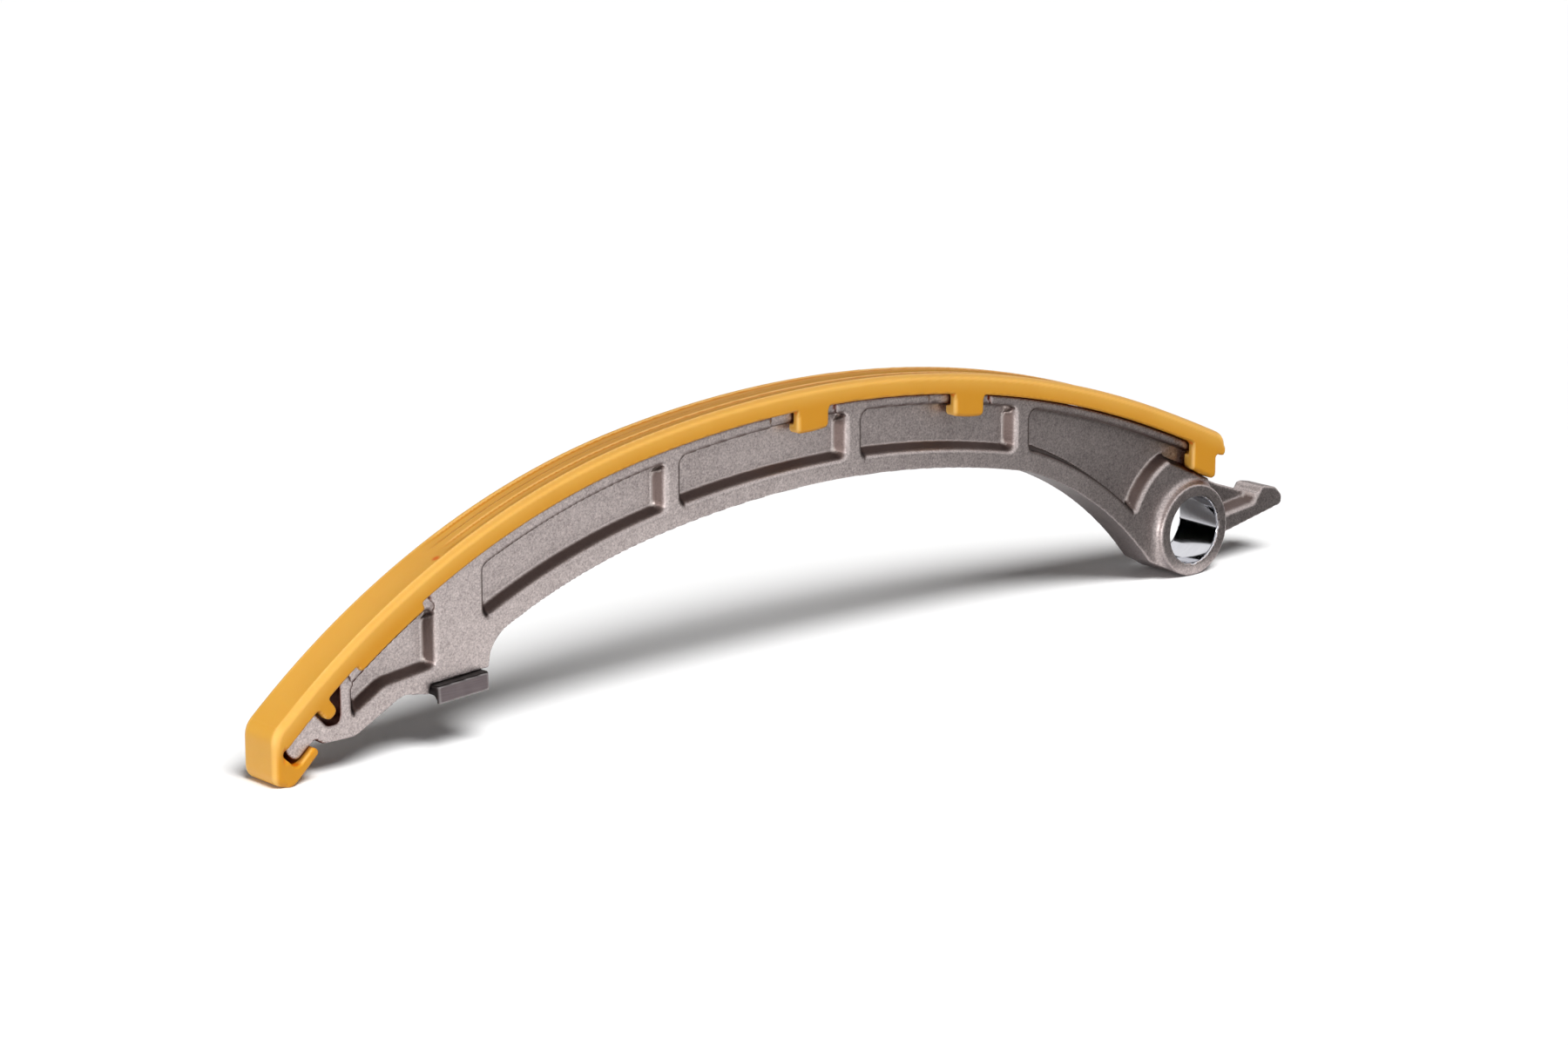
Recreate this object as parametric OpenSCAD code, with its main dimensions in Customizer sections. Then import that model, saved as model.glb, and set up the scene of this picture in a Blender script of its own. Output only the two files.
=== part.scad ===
// Timing chain guide: a cast arm that swings on a bored boss, a moulded slide lining
// that clips on its arched back, and a hard wear plate under its foot.
// Frame: origin at the middle of the pivot bore, bore axis along Y, arm running to -X, +Z up.
// The part stands as it would on a bench, on the boss and on the lining's end hook.

/* [Pivot boss] */
// Diameter of the pivot bore
bore_d = 16; // [10:0.5:18]
// Outer diameter of the boss
boss_d = 22; // [20:0.5:25]
// Length of the boss along the pivot
boss_len = 13; // [11:0.5:18]
// Chamfer at both ends of the bore
bore_chamfer = 0.3; // [0.1:0.1:0.8]
// Fillet between the boss and the sides of the arm
boss_fillet = 1.6; // [0.5:0.1:2]
// Radius of the solid block round the boss, where the last pocket ends
block_r = 18.5; // [17:0.5:19]

/* [Running curve] */
// Distance of the crown of the curve from the pivot, along X
crown_back = 116; // [110:1:122]
// Height of the crown of the curve above the pivot
crown_up = 50.9; // [48:0.1:54]
// Radius of the curve from the crown towards the foot
crown_r_foot = 296; // [270:1:330]
// Length of that arc
crown_len_foot = 52; // [40:1:60]
// Radius of the curve from there to the hooked end
end_r_foot = 186; // [175:1:200]
// Radius of the curve from the crown towards the pivot
crown_r_pivot = 282; // [260:1:310]
// Length of that arc
crown_len_pivot = 106; // [90:1:112]
// Radius of the curve from there to the end over the pivot
end_r_pivot = 488; // [400:1:600]

/* [Slide lining] */
// Width of the lining
lining_w = 11.5; // [10.5:0.1:13]
// Thickness of the lining
lining_t = 4.6; // [3.5:0.1:5.5]
// Depth of the two chain tracks
track_d = 0.3; // [0.1:0.05:0.6]
// Width of each chain track
track_w = 2.3; // [1.5:0.1:2.6]
// Width of the raised band between the tracks
track_land = 2.6; // [1.5:0.1:3]
// Curve length from the crown to the start of the tracks
track_start = 106; // [80:1:130]
// Curve length from the crown to where the hooked end turns down
strip_foot = 152; // [150:0.5:153]
// Curve length from the crown to where the pivot end turns down
strip_pivot = 126; // [124:0.5:127]
// Gap between the lining and its seat on the arm
seat_gap = 0.1; // [0.05:0.05:0.3]
// Thickness of the hook under the tongue
hook_t = 1.8; // [1.4:0.1:2.2]
// Thickness of the wall round the end of the tongue
end_t = 3.7; // [3:0.1:4]
// Width of the peg that locates the lining
peg_w = 3.2; // [2.5:0.1:3.4]
// Length of the peg below the lining
peg_len = 3.7; // [2.5:0.1:4]
// Distance from the middle of the peg to where the hooked end turns down, along the curve
peg_in = 6.6; // [6.2:0.1:7.2]
// How far the hooked end reaches below the end of its slot
end_drop = 3.35; // [3:0.05:4]
// Length of the lip past the hook over the pivot
lip_len = 2.8; // [2:0.1:3.5]

/* [Clips] */
// Width of each side clip
clip_w = 8.9; // [7:0.1:11]
// Distance of the middle of the first clip from the pivot, along X
clip_one_back = 119.1; // [118:0.1:121]
// Distance of the middle of the second clip from the pivot, along X
clip_two_back = 72.7; // [71:0.1:75]
// Distance of the hook's neck from the pivot, along X
hook_back = 0; // [-0.5:0.1:1]
// Width of the hook over the pivot
hook_w = 7.9; // [7:0.1:9]
// How far a clip reaches below the lining
clip_drop = 5.1; // [4.5:0.1:6]
// How far the barb of a clip reaches in under the flange
barb_in = 1.4; // [0.6:0.1:1.6]
// Length of the relief in the flange on the foot side of a clip
relief_foot = 6.5; // [3:0.1:7]
// Length of the relief in the flange on the pivot side of a clip
relief_pivot = 3.2; // [1:0.1:4]
// Length of the side skirt near the hooked end
skirt_len = 19.8; // [15:0.1:20]
// Curve length from the crown to the middle of the skirt
skirt_at = 124.7; // [124:0.1:126]
// How far the skirt reaches below the lining
skirt_drop = 1.7; // [1:0.1:2]
// Depth of the relief in the arm's flange behind each clip
relief_d = 0.75; // [0.5:0.05:1]
// Gap between a clip and the casting
clip_gap = 0.2; // [0.1:0.05:0.4]

/* [Cast arm] */
// Width of the arm across its flanges
arm_w = 8.6; // [7.6:0.1:9.6]
// Thickness of the web between the pockets
web_t = 2.2; // [1.6:0.1:3]
// Thickness of the outer flange at the foot
flange_foot = 3.3; // [2.4:0.1:3.5]
// Thickness of the outer flange at the pivot
flange_pivot = 1.9; // [1.8:0.1:3]
// Depth from the running face to the inner edge at the foot
depth_foot = 22.8; // [21:0.1:24]
// Depth from the running face to the inner edge near the pivot
depth_pivot = 20.8; // [20:0.1:23]
// Thickness of the inner flange
inner_flange = 3.8; // [3:0.1:5]
// Thickness of the inner flange in the throat by the boss
throat_flange = 4.8; // [4:0.1:6]
// Rise of the throat's arc above its chord
throat_rise = 3.35; // [2.5:0.05:4]
// Distance of the first cross rib from the pivot, along X
rib_first = 54.6; // [52:0.1:57]
// Distance between cross ribs
rib_pitch = 51.4; // [50:0.1:52]
// Thickness of a cross rib
rib_t = 4; // [3:0.1:6]
// Corner radius of the pockets
pocket_r = 1.8; // [0.8:0.1:2.2]

/* [Foot and tongue] */
// Distance of the foot's far side from where the lining's hooked end turns down, along X
foot_in = 35.23; // [34:0.01:36]
// Length of the foot along X
foot_len = 15.2; // [14.3:0.1:15.7]
// Thickness of the casting beside the pockets at the foot
foot_wall = 1.3; // [1:0.1:2]
// Fillet between the foot and the arm
foot_fillet = 8; // [5:0.5:10]
// Height of the foot's seat above the pivot, at the far side
seat_up = 3.2; // [2:0.1:4]
// Slope of the foot's seat in degrees
seat_slope = 3.9; // [0:0.1:6]
// Thickness of the tongue in the lining's hook
tongue_t = 4.5; // [3.8:0.1:4.7]
// Length of the tongue past the peg notch
tongue_len = 10.9; // [9.5:0.1:11.3]

/* [Wear plate] */
// Length of the plate along the arm
plate_len = 13.3; // [11:0.1:14.5]
// Thickness of the plate
plate_t = 3.85; // [2.5:0.05:5]
// Width of the plate across the arm
plate_w = 13.2; // [11:0.1:15]
// Depth of the channel that the tensioner's plunger runs in
channel_d = 1.7; // [1:0.1:2.2]
// Thickness of the wings beside the channel
wing_t = 0.7; // [0.5:0.1:1.2]
// Radius of the plate's corners
plate_r = 0.7; // [0.3:0.1:1]

/* [Nose] */
// Reach of the nose past the pivot
nose_reach = 33; // [30:0.1:36]
// Thickness of the rounded head of the nose
head_len = 8; // [6:0.1:9]
// Height of the top of the head above the pivot
head_up = 6.4; // [5.8:0.1:7.5]
// Height of the underside of the head above the pivot
head_under = 1; // [0:0.1:1.5]
// Depth from the running face to the top of the block and the nose web
block_top = 11; // [10.8:0.1:11.6]

/* [Hidden] */
$fn = 96;
boss_r = boss_d/2;
crown = [-crown_back, crown_up];
seat = lining_t + seat_gap;
curve_step = 4;
corner_steps = 6;
pocket_depth = (arm_w - web_t)/2;
relief_y = arm_w/2 - relief_d;
neck_y = relief_y + clip_gap;
barb_y = neck_y - barb_in;
peg_at = strip_foot - peg_in;
cut = 1;

// Unit vector, and points at a distance and angle
function unit(v) = v/norm(v);
function polar(r, a) = [r*cos(a), r*sin(a)];
function deg(arc, r) = arc/r*180/PI;

// The running curve: side is -1 towards the foot and 1 towards the pivot
function crown_r(side) = side < 0 ? crown_r_foot : crown_r_pivot;
function crown_len(side) = side < 0 ? crown_len_foot : crown_len_pivot;
function end_r(side) = side < 0 ? end_r_foot : end_r_pivot;
function turn(side) = deg(crown_len(side), crown_r(side));
function heading(side, a) = [side*sin(a), cos(a)];
function crown_centre(side) = crown - [0, crown_r(side)];
function end_centre(side) =
    crown_centre(side) + (crown_r(side) - end_r(side))*heading(side, turn(side));

// Point at curve length s from the crown, d below the running face
function rail(s, d) =
    let (side = s < 0 ? -1 : 1, a = abs(s))
    a <= crown_len(side)
        ? crown_centre(side) + (crown_r(side) - d)*heading(side, deg(a, crown_r(side)))
        : end_centre(side) + (end_r(side) - d)
            *heading(side, turn(side) + deg(a - crown_len(side), end_r(side)));

// Curve length at which the line d below the running face passes x
function rail_at(x, d) =
    let (side = x < crown[0] ? -1 : 1,
         a = asin(side*(x - crown[0])/(crown_r(side) - d)),
         b = asin(side*(x - end_centre(side)[0])/(end_r(side) - d)))
    a <= turn(side)
        ? side*a*crown_r(side)*PI/180
        : side*(crown_len(side) + (b - turn(side))*end_r(side)*PI/180);

// Points along the curve at a depth that may change from d0 to d1
function along(s0, s1, d0, d1) =
    let (n = max(1, round(abs(s1 - s0)/curve_step)))
    [for (i = [0:n]) rail(s0 + (s1 - s0)*i/n, d0 + (d1 - d0)*i/n)];

// Thicknesses that change evenly from the foot to the pivot
function share(s) = (s + peg_at)/(peg_at + strip_pivot);
function flange_low(s) = seat + flange_foot + (flange_pivot - flange_foot)*share(s);
function inner_edge(s) = depth_foot + (depth_pivot - depth_foot)*share(s);

// Where two circles meet, on the left of the line from the first centre to the second
function meet(c0, r0, c1, r1) =
    let (v = c1 - c0, l = norm(v), a = (r0*r0 - r1*r1 + l*l)/(2*l), h = sqrt(r0*r0 - a*a), u = v/l)
    c0 + a*u + h*[-u[1], u[0]];

// Corner p1 between p0 and p2, rounded to radius r
function corner(p0, p1, p2, r) =
    r <= 0 ? [p1] :
    let (u = unit(p0 - p1), v = unit(p2 - p1),
         half = acos(u*v)/2, c = p1 + unit(u + v)*r/sin(half),
         a = p1 + u*r/tan(half) - c, b = p1 + v*r/tan(half) - c,
         a0 = atan2(a[1], a[0]), swing = atan2(a[0]*b[1] - a[1]*b[0], a*b))
    [for (i = [0:corner_steps]) c + polar(r, a0 + swing*i/corner_steps)];

// Closed outline from [point, radius] pairs
function rounded(list) =
    let (n = len(list))
    [for (i = [0:n - 1])
        each corner(list[(i + n - 1)%n][0], list[i][0], list[(i + 1)%n][0], list[i][1])];
function plain(points) = [for (p = points) [p, 0]];
function inner(points) = [for (i = [1:len(points) - 2]) [points[i], 0]];

// The throat: an arc from the inner edge to the wall below the boss
throat_top = rail(rail_at(-rib_first + rib_t/2, depth_pivot), inner_edge(strip_pivot/2));
throat_end = polar(boss_r + 3, 206);
throat_chord = norm(throat_end - throat_top);
throat_r = throat_chord*throat_chord/(8*throat_rise) + throat_rise/2;
throat_dir = unit(throat_end - throat_top);
throat_c = (throat_top + throat_end)/2 + (throat_r - throat_rise)*[throat_dir[1], -throat_dir[0]];
function throat(a) = throat_c + polar(throat_r, a);
throat_a0 = atan2(throat_top[1] - throat_c[1], throat_top[0] - throat_c[0]);
throat_a1 = atan2(throat_end[1] - throat_c[1], throat_end[0] - throat_c[0]);
throat_steps = 12;

// The end of the lining over the pivot: side walls from the neck, a solid end, and a lip
neck_x = -hook_back;
wall_x = neck_x + 2.5;
flange_x = wall_x - 0.3;
lip_out = rail_at(neck_x + hook_w, lining_t) + lip_len;
relief_x = neck_x - 4.7;
hook_low = block_top - clip_gap;
// Point below the running face at the line x
function under(x, d) = rail(rail_at(x, d), d);
function low_at(x) = flange_low(rail_at(x, seat));

// The hooked end of the lining
tip_s = -peg_at - peg_w/2 - tongue_len;
slot_end = tip_s - 1.1;
tongue_low = seat + tongue_t;
slot_low = tongue_low + 0.15;
end_x = rail(slot_end, (lining_t + slot_low)/2)[0] - end_t;
end_low = rail(slot_end, slot_low)[1] - end_drop;
end_lean = turn(-1) + deg(strip_foot - crown_len_foot, end_r_foot);
end_from = rail(-strip_foot, 0);
end_top = [end_x, end_from[1] - (end_from[0] - end_x)*tan(end_lean)];

// The foot and its seat
foot_far = -end_from[0] - foot_in;
foot_near = foot_far - foot_len;
seat_far = [-foot_far, seat_up];
seat_near = [-foot_near, seat_up + (foot_far - foot_near)*tan(seat_slope)];

// A flat outline in X and Z, thickened across the arm
module across(w) {
    rotate([90, 0, 0])
        linear_extrude(w, center = true)
            children();
}

// The same outline on both sides of the arm, from y0 outwards to y1
module both_sides(y0, y1) {
    for (side = [-1, 1])
        translate([0, side*(y0 + y1)/2, 0])
            across(y1 - y0)
                children();
}

// Outline of the peg notch and the tongue, from the seat round to the underside
notch_x = rail(-peg_at + peg_w/2 + 4.8, seat)[0];
notch_low = rail(-peg_at, seat + peg_len)[1] - 2.2;
underside = rail(-peg_at, tongue_low)[1] - 5;

function arm_outline() = rounded(concat(
    // Tongue and peg notch
    [[rail(tip_s, tongue_low), 1.9], [rail(tip_s, seat), 1.9]],
    inner(along(tip_s, -peg_at - peg_w/2 - 0.5, seat, seat)),
    [[rail(-peg_at - peg_w/2 - 0.5, seat), 0.5]],
    [[[notch_x - 3.2, notch_low], 1.2], [[notch_x, notch_low], 1.4]],
    [[[notch_x, rail(rail_at(notch_x, seat), seat)[1]], 0.5]],
    // Seat of the lining, to the end of the flange
    inner(along(rail_at(notch_x, seat), rail_at(flange_x, seat), seat, seat)),
    [[under(flange_x, seat), 0.4], [under(flange_x, block_top), 0]],
    // Top of the block and of the nose web, and the head
    inner(along(rail_at(flange_x, block_top), lip_out + 10, block_top, block_top - 0.2)),
    [[[nose_reach - head_len - 0.5, head_up - 1.9], 0.8]],
    [[[nose_reach - head_len + 0.4, head_up], 1.2], [[nose_reach - 2.6, head_up - 1], 3]],
    [[[nose_reach, head_up - 3.6], 1.6], [[nose_reach - 1, head_under], 1.2]],
    // Underside of the nose, through the boss, to the throat
    [[polar(boss_r + 2, -13), 0], [polar(boss_r - 3, -45), 0], [polar(boss_r, 237), 0]],
    [for (i = [0:throat_steps])
        [throat(throat_a1 + (throat_a0 - throat_a1)*i/throat_steps), 0]],
    // Inner edge, foot and underside
    inner(along(rail_at(throat_top[0], depth_pivot), rail_at(foot_fillet - foot_near, depth_foot),
                inner_edge(strip_pivot/2), depth_foot)),
    [[[-foot_near, rail(rail_at(-foot_near, depth_foot), depth_foot)[1]], foot_fillet]],
    [[seat_near, 0.4], [seat_far, 0], [seat_far - [0, 2], 0.6]],
    [[[-foot_far - 6.8, seat_up - 0.9], 5], [[-foot_far - 18.9, underside], 5]],
    [[[rail(-peg_at, tongue_low)[0] - 2.4, underside], 0.8]],
    [[rail(-peg_at - 5.7, tongue_low), 0.6]]
));

// A pocket between two cross walls at x0 and x1
function bay(x0, x1) =
    let (s0 = rail_at(x0, seat + flange_foot), s1 = rail_at(x1, seat + flange_pivot),
         t0 = rail_at(x0, depth_foot - inner_flange), t1 = rail_at(x1, depth_pivot - inner_flange),
         top = along(s0, s1, flange_low(s0), flange_low(s1)),
         low = along(t1, t0, inner_edge(t1) - inner_flange, inner_edge(t0) - inner_flange))
    rounded(concat(
        [[top[0], pocket_r]], inner(top), [[top[len(top) - 1], pocket_r]],
        [[low[0], pocket_r]], inner(low), [[low[len(low) - 1], pocket_r]]));

// The pocket between the tongue's post and the foot
function end_bay() =
    let (x0 = notch_x + 2.8, x1 = -foot_far + 1.9,
         s0 = rail_at(x0, seat + flange_foot), s1 = rail_at(x1, seat + flange_foot),
         top = along(s0, s1, flange_low(s0), flange_low(s1)))
    rounded(concat(
        [[top[0], 0.8]], inner(top), [[top[len(top) - 1], pocket_r]],
        [[[x1, seat_up + 3], 1.5], [[-foot_far - 10.9, seat_up + 1.4], 6]],
        [[[x0, underside + 3.6], 1.2]]));

// The pocket beside the boss, open at its upper corner under the lining's hook
function throat_bay() =
    let (x0 = -rib_first + rib_t/2,
         s0 = rail_at(x0, seat + flange_pivot),
         low_r = throat_r + throat_flange,
         low_in = meet(throat_c, low_r, [0, 0], block_r),
         high_in = meet(end_centre(1), end_r_pivot - block_top, [0, 0], block_r),
         a0 = atan2(low_in[1], low_in[0]), a1 = atan2(high_in[1], high_in[0]),
         b0 = acos((x0 - throat_c[0])/low_r),
         b1 = atan2(low_in[1] - throat_c[1], low_in[0] - throat_c[0]),
         s1 = rail_at(flange_x + cut, low_at(flange_x)),
         top = along(s0, s1, flange_low(s0), low_at(flange_x)))
    rounded(concat(
        [[top[0], pocket_r]], inner(top), [[top[len(top) - 1], 0]],
        [[under(flange_x + cut, block_top - 0.6), 0], [under(flange_x - cut/2, block_top), 0]],
        [[high_in, 1]], [for (i = [1:5]) [polar(block_r, a1 + (a0 - a1)*i/6), 0]], [[low_in, 1]],
        [for (i = [1:9]) [throat_c + polar(low_r, b1 + (b0 - b1)*i/10), 0]],
        [[throat_c + polar(low_r, b0), pocket_r]]));

// The recess between the boss and the head of the nose
function nose_bay() =
    let (head_x = nose_reach - head_len)
    rounded([
        [[boss_r - 4, 0.4], 0], [[head_x - 2.1, head_under + 1.4], 0.8],
        [[head_x + 0.2, head_up], 0], [[head_x + cut, head_up + 6], 0], [[boss_r - 4, head_up + 10], 0]]);

// Band along the curve from s0 to s1 and from depth d0 to d1
module band(s0, s1, d0, d1) {
    polygon(concat(along(s0, s1, d0, d0), along(s1, s0, d1, d1)));
}

// Relief in the flange from x0 to x1
module relief(x0, x1) {
    polygon([under(x0, seat - cut), under(x1, seat - cut),
             under(x1, low_at(x1) + 0.6), under(x0, low_at(x0) + 0.6)]);
}

module boss() {
    rotate([90, 0, 0])
        cylinder(h = boss_len, r = boss_r, center = true);
    // Fillet round the foot of the boss, only where the arm's side is there to carry it
    intersection() {
        for (side = [-1, 1])
            rotate([90*side, 0, 0])
                translate([0, 0, arm_w/2 - cut])
                    rotate_extrude()
                        polygon(concat(
                            [[boss_r - cut, 0], [boss_r + boss_fillet, 0]],
                            [for (i = [0:corner_steps])
                                [boss_r + boss_fillet, cut + boss_fillet]
                                - polar(boss_fillet, 90 - 90*i/corner_steps)],
                            [[boss_r - cut, cut + boss_fillet]]));
        across(boss_len)
            difference() {
                polygon(arm_outline());
                polygon(nose_bay());
            }
    }
}

module bore() {
    rotate([90, 0, 0])
        cylinder(h = boss_len + 2*cut, d = bore_d, center = true);
    for (side = [-1, 1])
        rotate([90*side, 0, 0])
            translate([0, 0, boss_len/2 - bore_chamfer])
                cylinder(h = bore_chamfer + cut, r1 = bore_d/2, r2 = bore_d/2 + bore_chamfer + cut);
}

module arm_casting() {
    color([0.68, 0.65, 0.65])
        difference() {
            union() {
                difference() {
                    across(arm_w) polygon(arm_outline());
                    both_sides(web_t/2, arm_w/2 + cut) {
                        polygon(end_bay());
                        polygon(bay(-foot_near - foot_wall, -rib_first - 2*rib_pitch - rib_t/2));
                        for (i = [0:1])
                            polygon(bay(-rib_first - (i + 1)*rib_pitch + rib_t/2,
                                        -rib_first - i*rib_pitch - rib_t/2));
                        polygon(throat_bay());
                        polygon(nose_bay());
                    }
                    // Reliefs in the flange behind the clips, the skirt and the hook
                    both_sides(relief_y, arm_w/2 + cut) {
                        for (x = [-clip_one_back, -clip_two_back])
                            relief(x - clip_w/2 - relief_foot, x + clip_w/2 + relief_pivot);
                        band(-skirt_at - skirt_len/2 - 2.4, -skirt_at + skirt_len/2 + 3, seat - cut,
                             flange_low(-skirt_at) + 0.6);
                        relief(relief_x, wall_x + cut);
                    }
                }
                boss();
            }
            bore();
        }
}

// A clip and the side of the hook, from depth d0 down
function clip_outline(x0, x1, d0, low) = rounded([
    [under(x0, d0), 0], [under(x1, d0), 0], [under(x1, low - 0.3), 1],
    [under((x0 + x1)/2, low + 0.1), 0], [under(x0, low), 0.8]]);
function hook_outline(d0) = rounded([
    [under(neck_x, d0), 0], [under(wall_x + cut, d0), 0],
    [under(wall_x + cut, hook_low - 0.2), 0], [under(neck_x, hook_low - 0.2), 0.8]]);

// The whole lining from the side: hook, running face, pivot end, underside, peg and slot
function lining_outline() =
    let (peg0 = -peg_at - peg_w/2, peg1 = -peg_at + peg_w/2, low = lining_t + peg_len)
    rounded(concat(
        // Hook under the tongue and the end wall
        [[rail(-peg_at - 7.4, slot_low), 0.4], [rail(-peg_at - 7.4, slot_low + hook_t), 0.4]],
        [[[end_x + 4.5, end_low], 2.4], [[end_x, end_low], 2.8], [end_top, 5]],
        // Running face and the lip over the pivot
        plain(along(-strip_foot, strip_pivot, 0, 0)),
        [[rail(lip_out, 0), 3.9], [rail(lip_out, lining_t + 0.2), 0.5]],
        // Solid end behind the flange
        [[under(neck_x + hook_w, lining_t + 0.4), 0.3], [under(neck_x + hook_w, hook_low), 1]],
        [[under(wall_x, hook_low), 0], [under(wall_x, lining_t), 0]],
        // Underside, peg and slot
        inner(along(rail_at(wall_x, lining_t), peg1, lining_t, lining_t)),
        [[rail(peg1, lining_t), 0.3], [rail(peg1, low), 1.2], [rail(peg0, low), 1.2]],
        [[rail(peg0, lining_t), 0.3]],
        inner(along(peg0, slot_end, lining_t, lining_t)),
        [[rail(slot_end, lining_t), 1.3], [rail(slot_end, slot_low), 1.5]]));

// A side clip: a neck in the flange's relief and a barb that reaches in below the flange
module clip(x) {
    x0 = x - clip_w/2;
    x1 = x + clip_w/2;
    top = low_at(x) + clip_gap;
    low = lining_t + clip_drop;
    both_sides(neck_y, lining_w/2)
        polygon(clip_outline(x0, x1, lining_t - cut, low));
    both_sides(barb_y, neck_y + cut)
        polygon(clip_outline(x0, x1, top, low));
}

// The sides of the hook over the pivot, which clasp the end of the flange
module hook_sides() {
    top = low_at(neck_x) + 3*clip_gap;
    both_sides(neck_y, lining_w/2)
        polygon(hook_outline(lining_t - cut));
    both_sides(barb_y, neck_y + cut)
        polygon(hook_outline(top));
}

module skirt() {
    both_sides(arm_w/2 + clip_gap, lining_w/2)
        band(-skirt_at - skirt_len/2, -skirt_at + skirt_len/2, lining_t - cut, lining_t + skirt_drop);
}

module slide_lining() {
    color([0.9, 0.65, 0.22])
        union() {
            difference() {
                across(lining_w) polygon(lining_outline());
                // The two tracks that the chain's side plates run in
                both_sides(track_land/2, track_land/2 + track_w)
                    band(-track_start, lip_out + cut, -cut, track_d);
            }
            skirt();
            for (x = [-clip_one_back, -clip_two_back])
                clip(x);
            hook_sides();
        }
}

// The wear plate seen from its end, with the channel in its underside, and seen from above
function plate_end() =
    let (half = plate_w/2, wall = half - wing_t, deep = plate_t - channel_d, r = 0.7*channel_d)
    rounded([
        [[-half, 0], 0.3], [[-half, -plate_t], 0.2], [[-wall, -plate_t], 0.2], [[-wall, -deep], r],
        [[wall, -deep], r], [[wall, -plate_t], 0.2], [[half, -plate_t], 0.2], [[half, 0], 0.3]]);
function plate_plan() =
    let (half = plate_w/2)
    rounded([
        [[0, -half], plate_r], [[plate_len, -half], plate_r],
        [[plate_len, half], plate_r], [[0, half], plate_r]]);

// A hard plate, face to face with the foot's seat, with a channel for the tensioner's plunger
module wear_plate() {
    color([0.45, 0.42, 0.43])
        translate([seat_far[0], 0, seat_far[1]])
            rotate([0, -seat_slope, 0])
                intersection() {
                    translate([-cut, 0, 0])
                        rotate([90, 0, 90])
                            linear_extrude(plate_len + 2*cut)
                                polygon(plate_end());
                    translate([0, 0, -plate_t - cut])
                        linear_extrude(plate_t + 2*cut)
                            polygon(plate_plan());
                }
}

arm_casting();
slide_lining();
wear_plate();
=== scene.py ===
# %% [markdown]
# # A timing chain guide
# The real object has three pieces: a die-cast aluminium arm that swings on a bored boss, an amber
# plastic lining that the chain slides on, and a small steel plate under the foot. The solids come
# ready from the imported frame, in metres and in place. This lesson gives them the softness and the
# finishes of the real pieces, and a plain studio to stand in.

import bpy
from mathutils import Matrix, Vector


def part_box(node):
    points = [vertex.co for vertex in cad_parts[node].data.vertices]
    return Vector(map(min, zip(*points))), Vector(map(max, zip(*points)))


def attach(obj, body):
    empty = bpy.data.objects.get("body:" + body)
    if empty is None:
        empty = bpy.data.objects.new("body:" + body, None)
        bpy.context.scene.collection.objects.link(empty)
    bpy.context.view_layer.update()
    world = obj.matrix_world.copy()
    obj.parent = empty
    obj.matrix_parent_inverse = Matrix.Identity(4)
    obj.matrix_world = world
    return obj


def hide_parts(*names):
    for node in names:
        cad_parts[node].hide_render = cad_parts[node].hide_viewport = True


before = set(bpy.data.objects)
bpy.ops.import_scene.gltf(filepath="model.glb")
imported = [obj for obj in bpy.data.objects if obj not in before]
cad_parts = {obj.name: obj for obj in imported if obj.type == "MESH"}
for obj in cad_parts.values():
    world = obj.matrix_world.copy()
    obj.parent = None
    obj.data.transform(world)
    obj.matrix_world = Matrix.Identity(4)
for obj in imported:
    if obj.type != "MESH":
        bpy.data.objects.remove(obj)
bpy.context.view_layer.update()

# %% Tools used below
import math

import bpy
import numpy as np
from mathutils import Vector

scene = bpy.context.scene
print("Blender", bpy.app.version_string)

# %% [markdown]
# ## Cutting the solids
# Every piece here is a flat outline carried across the arm in a few layers, the way its mould is
# cut. A mesh could be bevelled edge by edge, but the pockets, clips and fillets meet in too many
# ways for that. So the outline of each layer is read by cutting the solid with a plane, and the
# soft shapes are built up again from the outlines.

# %% Cut a solid with a plane
MM = 1000.0


def triangles(node):
    """The corner points of a node's triangles, in millimetres."""
    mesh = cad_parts[node].data
    mesh.calc_loop_triangles()
    points = np.empty(len(mesh.vertices) * 3)
    mesh.vertices.foreach_get("co", points)
    corners = np.empty(len(mesh.loop_triangles) * 3, int)
    mesh.loop_triangles.foreach_get("vertices", corners)
    return points.reshape(-1, 3)[corners].reshape(-1, 3, 3) * MM


def cut_lines(corners, y):
    """The short lines, in X and Z, along which triangles cross the plane at y."""
    height = corners[:, :, 1] - y
    above = height > 0
    count = above.sum(1)
    crossing = (count == 1) | (count == 2)
    corners, height, above = corners[crossing], height[crossing], above[crossing]
    # The corner that lies alone on its side of the plane
    lone = np.where(count[crossing] == 1, above.argmax(1), (~above).argmax(1))
    row = np.arange(len(corners))
    ends = []
    for turn in (1, 2):
        other = (lone + turn) % 3
        share = height[row, lone] / (height[row, lone] - height[row, other])
        edge = corners[row, other] - corners[row, lone]
        ends.append(corners[row, lone] + share[:, None] * edge)
    return np.stack(ends, 1)[:, :, [0, 2]]


arm_solid = triangles("arm_casting")
lining_solid = triangles("slide_lining")
print("arm", len(arm_solid), "triangles, lining", len(lining_solid))

# %% [markdown]
# ## Outlines as distances
# Each outline is kept as a grid of distances: below zero inside the outline, above zero outside.
# Distances can be added, rounded and blended like numbers, which is what a casting's soft edges
# need. A slight blur takes out the facets of the curves.

# %% Keep an outline as a grid of distances
# Millimetres between the points of the grid, and the farthest distance that is kept
FINE, REACH = 0.25, 6.0
BLUR_STEPS = 6
# Square of the shortest line that counts
SHORTEST2 = 1e-12
# The grid starts at odd places, so that its rows never meet a corner of an outline
LOW = np.array([-268.0137, -18.0137])
HIGH = np.array([40.0, 58.0])
GRID = ((HIGH - LOW) / FINE).astype(int)
LAST_CELL = GRID - 1.001


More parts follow.
